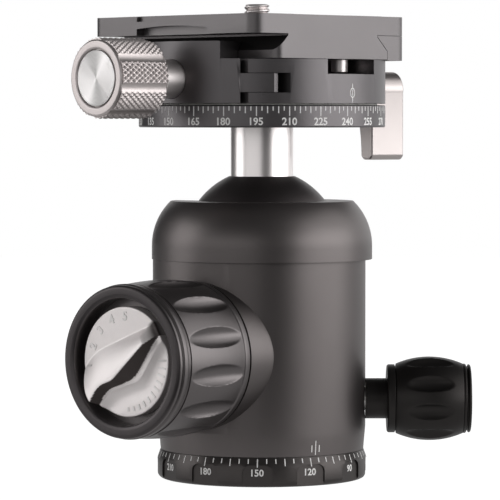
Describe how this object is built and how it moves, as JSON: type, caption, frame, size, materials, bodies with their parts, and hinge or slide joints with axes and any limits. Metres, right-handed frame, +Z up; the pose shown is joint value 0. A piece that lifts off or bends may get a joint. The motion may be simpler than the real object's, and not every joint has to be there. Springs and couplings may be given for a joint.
{
  "type": "tripod ball head",
  "caption": "Tripod ball head: panning base, locking ball with friction dial, panning screw-knob clamp and dovetail camera plate.",
  "frame": {"origin": "centre of the base's underside, at the mouth of the tripod thread", "axes": "+Z up along the body; the front is -Y, and the pan knob points along +X"},
  "size_m": [0.1006, 0.0952, 0.1191],
  "materials": {
    "body_anodised": "satin dark grey anodised",
    "knob_anodised": "satin black anodised",
    "ball_anodised": "smooth black anodised",
    "clamp_anodised": "bead-blasted dark grey anodised",
    "plate_anodised": "bead-blasted grey anodised",
    "satin_silver": "satin silver anodised",
    "spun_silver": "spun, fine circular brush",
    "steel": "plain turned",
    "black_steel": "blackened",
    "chrome": "polished",
    "brass": "turned",
    "nylon": "matte white",
    "acetal": "matte ivory",
    "rubber": "matte black"
  },
  "bodies": {
    "base": {"base_ring": "body_anodised", "thread_insert": "steel", "retaining_plate": "steel", "retaining_screws": "steel"},
    "body": {"housing": "body_anodised", "pan_washer": "nylon", "retaining_collar": "body_anodised", "upper_seat": "acetal", "collar_grub_screws": "black_steel", "main_bushing": "brass", "pan_bushing": "brass", "lift_ring": "brass"},
    "seat": {"lower_seat": "acetal"},
    "ball": {"ball": "ball_anodised", "neck": "satin_silver", "pan_scale_disc": "clamp_anodised", "hub_bolt": "steel", "clamp_ring": "steel", "clamp_ring_screws": "steel", "disc_washer": "nylon"},
    "clamp": {"clamp_base": "clamp_anodised", "fixed_jaw": "plate_anodised", "fixed_jaw_screws": "steel", "jaw_guide_pins": "steel", "jaw_spring": "steel"},
    "jaw": {"movable_jaw": "clamp_anodised"},
    "clamp_knob": {"clamp_knob": "satin_silver", "clamp_knob_inlay": "spun_silver", "clamp_knob_sleeve": "satin_silver", "clamp_screw": "steel"},
    "plate": {"camera_plate": "plate_anodised", "plate_stop_screws": "chrome", "plate_pads": "rubber"},
    "camera_clip": {"camera_screw_clip": "steel"},
    "camera_screw": {"camera_screw": "chrome"},
    "lever_pad": {"lever_pad": "acetal"},
    "pan_lever": {"pan_lever": "satin_silver", "lever_screw": "steel", "lever_cap_screw": "steel"},
    "plunger": {"lock_plunger": "steel"},
    "main_knob": {"main_knob_grip": "knob_anodised", "main_spindle": "steel", "main_knob_nut": "steel", "dial_ring": "knob_anodised"},
    "friction_dial": {"friction_dial": "satin_silver", "friction_screw": "steel"},
    "brake_shoe": {"brake_shoe": "acetal"},
    "pan_knob": {"pan_knob_grip": "knob_anodised", "pan_knob_neck": "knob_anodised", "pan_screw": "steel", "pan_knob_cap": "knob_anodised"}
  },
  "joints": [
    {"name": "body_pan", "type": "hinge", "parent": "base", "child": "body", "pos_m": [0, 0, 0.0074], "axis": [0, 0, 1], "continuous": true},
    {"name": "ball_swivel", "type": "hinge", "parent": "body", "child": "seat", "pos_m": [0, 0, 0.0577], "axis": [0, 0, 1], "continuous": true},
    {"name": "ball_tilt", "type": "hinge", "parent": "seat", "child": "ball", "pos_m": [0, 0, 0.0577], "axis": [-0.6293, -0.7771, 0], "range_deg": [-29.5, 29.5]},
    {"name": "clamp_pan", "type": "hinge", "parent": "ball", "child": "clamp", "pos_m": [0, 0, 0.0937], "axis": [0, 0, 1], "continuous": true},
    {"name": "jaw_slide", "type": "slide", "parent": "clamp", "child": "jaw", "axis": [-0.7242, -0.6896, 0], "range_m": [0, 0.004]},
    {"name": "clamp_knob_turn", "type": "hinge", "parent": "jaw", "child": "clamp_knob", "pos_m": [-0.03259, -0.03103, 0.1001], "axis": [-0.7242, -0.6896, 0], "range_deg": [0, 1800]},
    {"name": "plate_slide", "type": "slide", "parent": "clamp", "child": "plate", "axis": [0.6896, -0.7242, 0], "range_m": [-0.0012, 0.0106]},
    {"name": "camera_slide", "type": "slide", "parent": "plate", "child": "camera_clip", "axis": [0.6896, -0.7242, 0], "range_m": [-0.011, 0.005]},
    {"name": "camera_screw_turn", "type": "hinge", "parent": "camera_clip", "child": "camera_screw", "pos_m": [-0.00124, 0.0013, 0.1158], "axis": [0, 0, 1], "continuous": true},
    {"name": "lever_pad_slide", "type": "slide", "parent": "clamp", "child": "lever_pad", "axis": [0.8192, 0.5736, 0], "range_m": [0, 0.00025]},
    {"name": "pan_lever_turn", "type": "hinge", "parent": "lever_pad", "child": "pan_lever", "pos_m": [0.02949, 0.02065, 0.0978], "axis": [0.8192, 0.5736, 0], "range_deg": [0, 90]},
    {"name": "plunger_slide", "type": "slide", "parent": "body", "child": "plunger", "axis": [-0.6293, -0.7771, 0], "range_m": [0, 0.00125]},
    {"name": "main_knob_turn", "type": "hinge", "parent": "plunger", "child": "main_knob", "pos_m": [-0.02517, -0.03109, 0.032], "axis": [-0.6293, -0.7771, 0], "range_deg": [0, 360]},
    {"name": "friction_dial_turn", "type": "hinge", "parent": "main_knob", "child": "friction_dial", "pos_m": [-0.03272, -0.04041, 0.032], "axis": [-0.6293, -0.7771, 0], "range_deg": [0, 270]},
    {"name": "shoe_slide", "type": "slide", "parent": "body", "child": "brake_shoe", "axis": [1, 0, 0], "range_m": [0, 0.001]},
    {"name": "pan_knob_turn", "type": "hinge", "parent": "brake_shoe", "child": "pan_knob", "pos_m": [0.042, 0, 0.0198], "axis": [1, 0, 0], "range_deg": [0, 360]}
  ],
  "couplings": [
    {"joint": "clamp_knob_turn", "follows": "jaw_slide", "rad_per_m": 7853.9},
    {"joint": "pan_lever_turn", "follows": "lever_pad_slide", "rad_per_m": 6283.1},
    {"joint": "main_knob_turn", "follows": "plunger_slide", "rad_per_m": 5026.5},
    {"joint": "pan_knob_turn", "follows": "shoe_slide", "rad_per_m": 6283.1}
  ]
}
